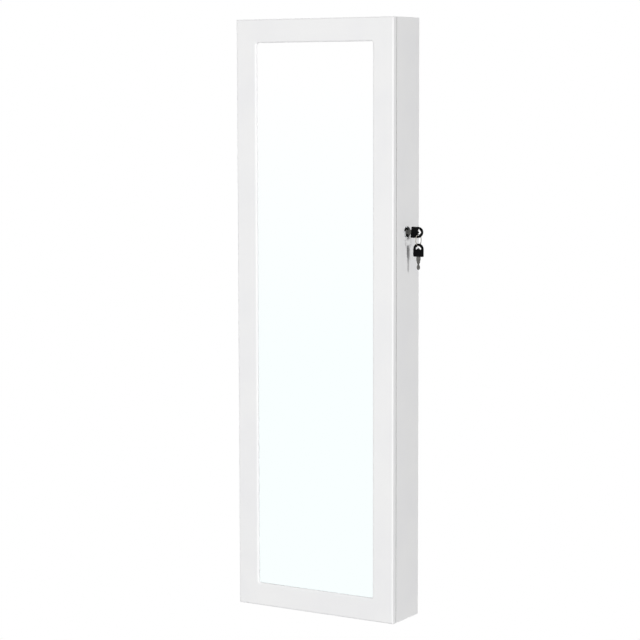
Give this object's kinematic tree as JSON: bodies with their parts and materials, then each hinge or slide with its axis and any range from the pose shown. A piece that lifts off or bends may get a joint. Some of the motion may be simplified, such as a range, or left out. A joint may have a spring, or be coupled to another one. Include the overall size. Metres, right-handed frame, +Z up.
{
  "type": "jewelry mirror cabinet",
  "caption": "Tall, slim wall cabinet with a full-length framed mirror for a door, a keyed side lock, and pegs, shelves, ring rolls and earring boards inside.",
  "frame": {"origin": "middle of the case's underside (the case without its door)", "axes": "+Z up, along the height; +Y towards the wall; +X to the right of someone who faces the mirror"},
  "size_m": [0.4086, 0.104, 1.2],
  "materials": {
    "white_lacquer": "satin white lacquer on fibreboard",
    "white_hardboard": "white coated hardboard",
    "black_velvet": "short black velvet pile",
    "beech_dowel": "bare fluted beech",
    "nickel_steel": "nickel plated steel",
    "chrome_lock": "polished chrome plate on zinc",
    "black_key_plastic": "moulded black plastic with a slight gloss",
    "white_catch_plastic": "moulded white plastic",
    "clear_bumper": "soft clear bumper",
    "mirror_silver": "silvered float glass",
    "grey_board": "grey fibreboard backing"
  },
  "bodies": {
    "case": {"back_lining": "black_velvet", "back_panel": "white_hardboard", "back_panel_screws": "nickel_steel", "bottom_panel": "white_lacquer", "bracelet_rod": "nickel_steel", "bracelet_rod_cups": "white_catch_plastic", "case_hinge_leaves": "nickel_steel", "case_hinge_screws": "nickel_steel", "door_bumpers": "clear_bumper", "earring_panel": "white_lacquer", "earring_panel_standoffs": "white_catch_plastic", "hanging_rail_bottom": "white_lacquer", "hanging_rail_top": "white_lacquer", "hinge_pins": "nickel_steel", "lock_housing": "chrome_lock", "lock_nut": "nickel_steel", "magnet_catch": "white_catch_plastic", "magnet_catch_screws": "nickel_steel", "necklace_bar": "white_lacquer", "necklace_pegs": "nickel_steel", "panel_dowels": "beech_dowel", "ring_rolls": "black_velvet", "ring_tray": "white_lacquer", "shelf_guard_rods": "nickel_steel", "shelf_lower": "white_lacquer", "shelf_mats": "black_velvet", "shelf_middle": "white_lacquer", "shelf_upper": "white_lacquer", "side_panel_left": "white_lacquer", "side_panel_right": "white_lacquer", "top_panel": "white_lacquer"},
    "door": {"door_frame": "white_lacquer", "mirror_glass": "mirror_silver", "mirror_backing": "grey_board", "door_lining": "black_velvet", "door_hinge_leaves": "nickel_steel", "door_hinge_screws": "nickel_steel", "door_necklace_bar": "white_lacquer", "door_necklace_pegs": "nickel_steel", "earring_strips": "white_lacquer", "door_rack": "white_lacquer", "door_rack_rod": "nickel_steel", "strike_bracket": "nickel_steel", "strike_pin": "nickel_steel", "strike_screws": "nickel_steel", "catch_plate": "nickel_steel", "catch_plate_screw": "nickel_steel"},
    "lock_plug": {"lock_plug": "chrome_lock", "lock_cam": "nickel_steel", "cam_screw": "nickel_steel"},
    "key": {"key_bow": "black_key_plastic", "key_blade": "nickel_steel"},
    "key_ring": {"key_ring": "nickel_steel"},
    "spare_key": {"spare_key_bow": "black_key_plastic", "spare_key_blade": "nickel_steel"}
  },
  "joints": [
    {"name": "door_hinge", "type": "hinge", "parent": "case", "child": "door", "pos_m": [-0.1852, -0.046, 0.6], "axis": [0, 0, -1], "range_deg": [0, 180]},
    {"name": "lock_turn", "type": "hinge", "parent": "case", "child": "lock_plug", "pos_m": [0.1825, -0.005, 0.779], "axis": [-1, 0, 0], "range_deg": [-12, 78]},
    {"name": "key_slide", "type": "slide", "parent": "lock_plug", "child": "key", "axis": [1, 0, 0], "range_m": [0, 0.03]},
    {"name": "ring_swing", "type": "hinge", "parent": "key", "child": "key_ring", "pos_m": [0.2099, -0.00682, 0.77044], "axis": [1, 0, 0], "range_deg": [-40, 40]},
    {"name": "spare_swing", "type": "hinge", "parent": "key_ring", "child": "spare_key", "pos_m": [0.2099, -0.00682, 0.75287], "axis": [0, 1, 0], "range_deg": [-30, 30]}
  ]
}
